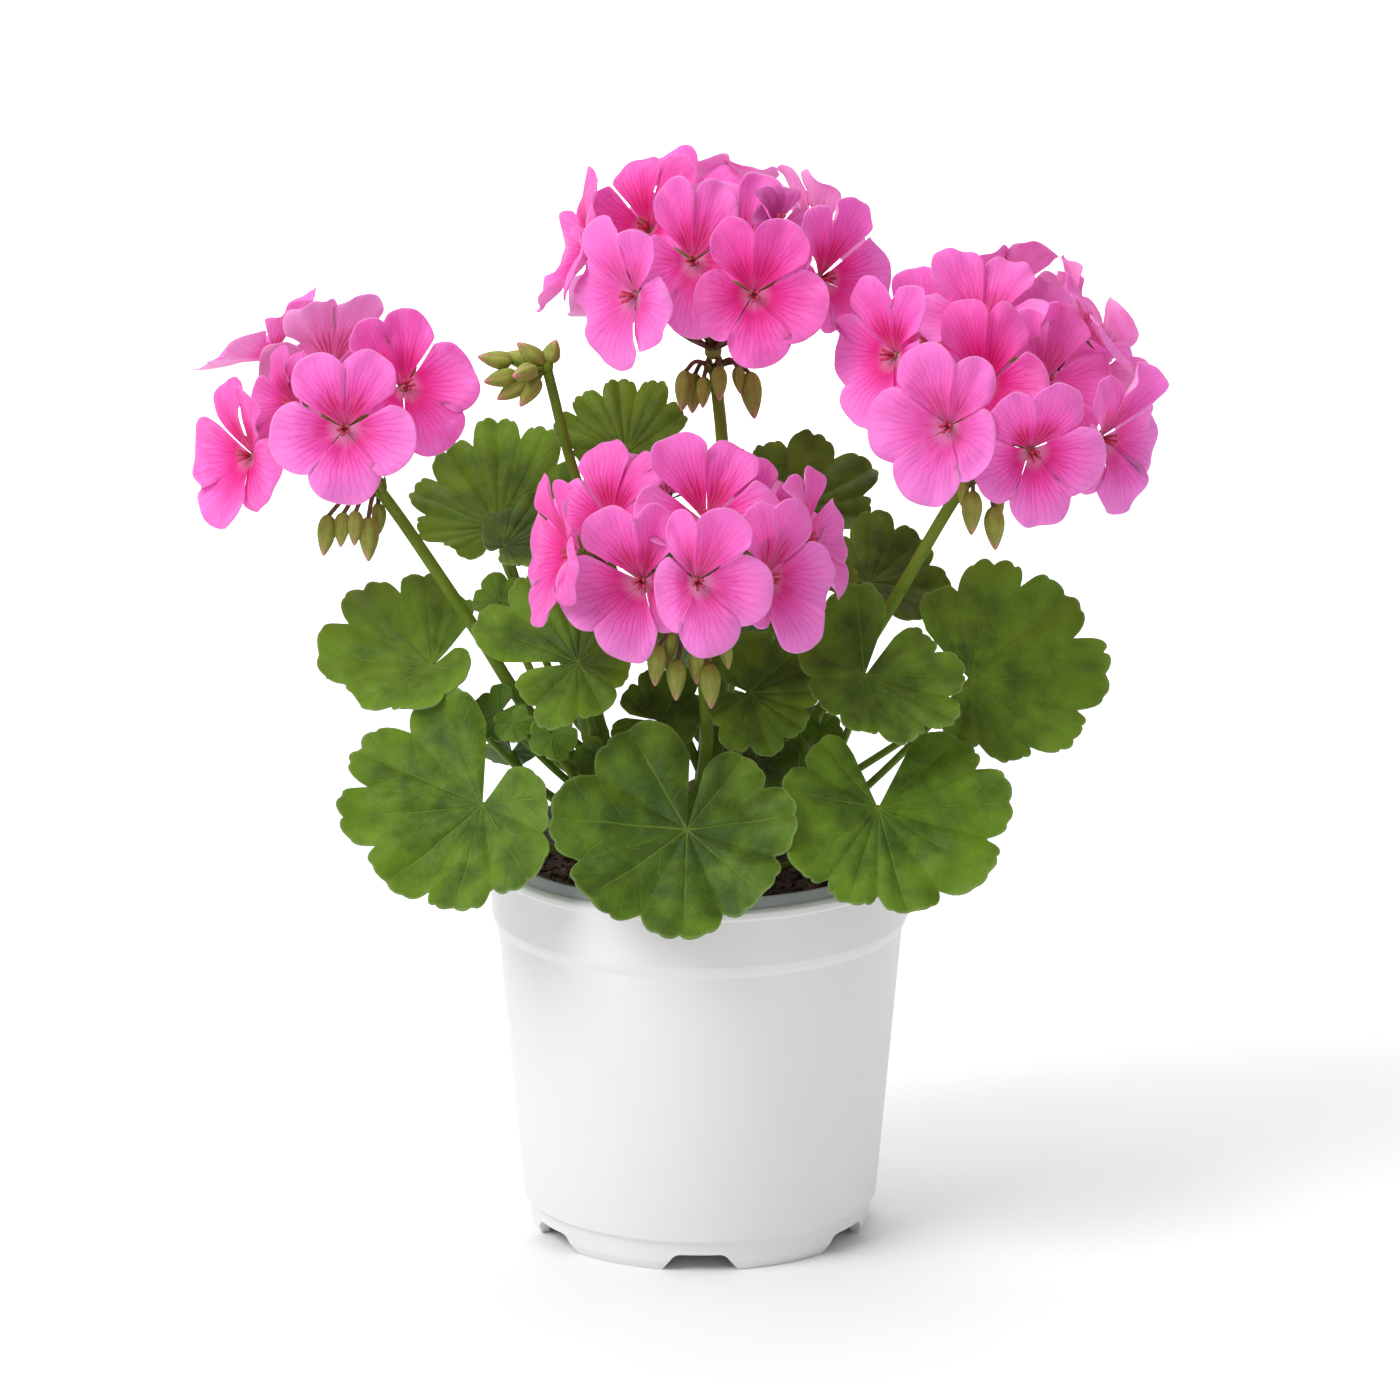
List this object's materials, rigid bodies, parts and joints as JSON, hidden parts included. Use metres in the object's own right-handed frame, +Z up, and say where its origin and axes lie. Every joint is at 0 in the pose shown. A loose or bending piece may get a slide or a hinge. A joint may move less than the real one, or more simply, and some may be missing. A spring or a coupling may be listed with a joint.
{
  "type": "potted zonal geranium",
  "caption": "Zonal geranium in a white nursery pot: branching green stem, scalloped round leaves, and rounded heads of pink five-petalled florets.",
  "frame": {"origin": "on the floor, under the middle of the whole plant's width and depth; the pot's axis stands 6.5 mm from it towards +X", "axes": "+Z up; -Y is the plant's front, the side that the picture shows; +X is to its right"},
  "size_m": [0.2952, 0.1656, 0.3371],
  "materials": {
    "white_plastic": "satin",
    "peat": "matte",
    "stem_green": "satin",
    "leaf_green": "satin",
    "young_leaf_green": "satin",
    "petal_pink": "matte"
  },
  "bodies": {
    "root": {"nursery_pot": "white_plastic", "potting_soil": "peat", "branching_stem": "stem_green", "leaf_front": "leaf_green", "leaf_front_left": "leaf_green", "leaf_front_right": "leaf_green", "leaf_left": "leaf_green", "leaf_right": "leaf_green", "leaf_inner_right": "leaf_green", "leaf_shaded": "leaf_green", "leaf_ruffled": "leaf_green", "leaf_upper_right": "leaf_green", "leaf_top": "leaf_green", "leaf_upper_left": "leaf_green", "leaf_behind_head": "leaf_green", "leaf_inner_left": "leaf_green", "leaf_inner_front": "leaf_green", "leaf_small_inner": "leaf_green", "leaf_small_right": "leaf_green", "leaf_small_upper": "leaf_green", "leaf_small_left": "leaf_green", "young_leaf_a": "young_leaf_green", "young_leaf_b": "young_leaf_green", "young_leaf_c": "young_leaf_green", "leaf_turned_away": "leaf_green", "leaf_low_left": "leaf_green", "leaf_back_left": "leaf_green", "leaf_back": "leaf_green", "leaf_back_low": "leaf_green", "leaf_back_right": "leaf_green", "leaf_back_upper_left": "leaf_green", "leaf_back_upper": "leaf_green", "flower_stalk_left": "stem_green", "flower_head_left": "petal_pink", "flower_stalk_top": "stem_green", "flower_head_top": "petal_pink", "flower_stalk_right": "stem_green", "flower_head_right": "petal_pink", "flower_stalk_front": "stem_green", "flower_head_front": "petal_pink", "young_bud_stalk": "stem_green"}
  },
  "joints": []
}
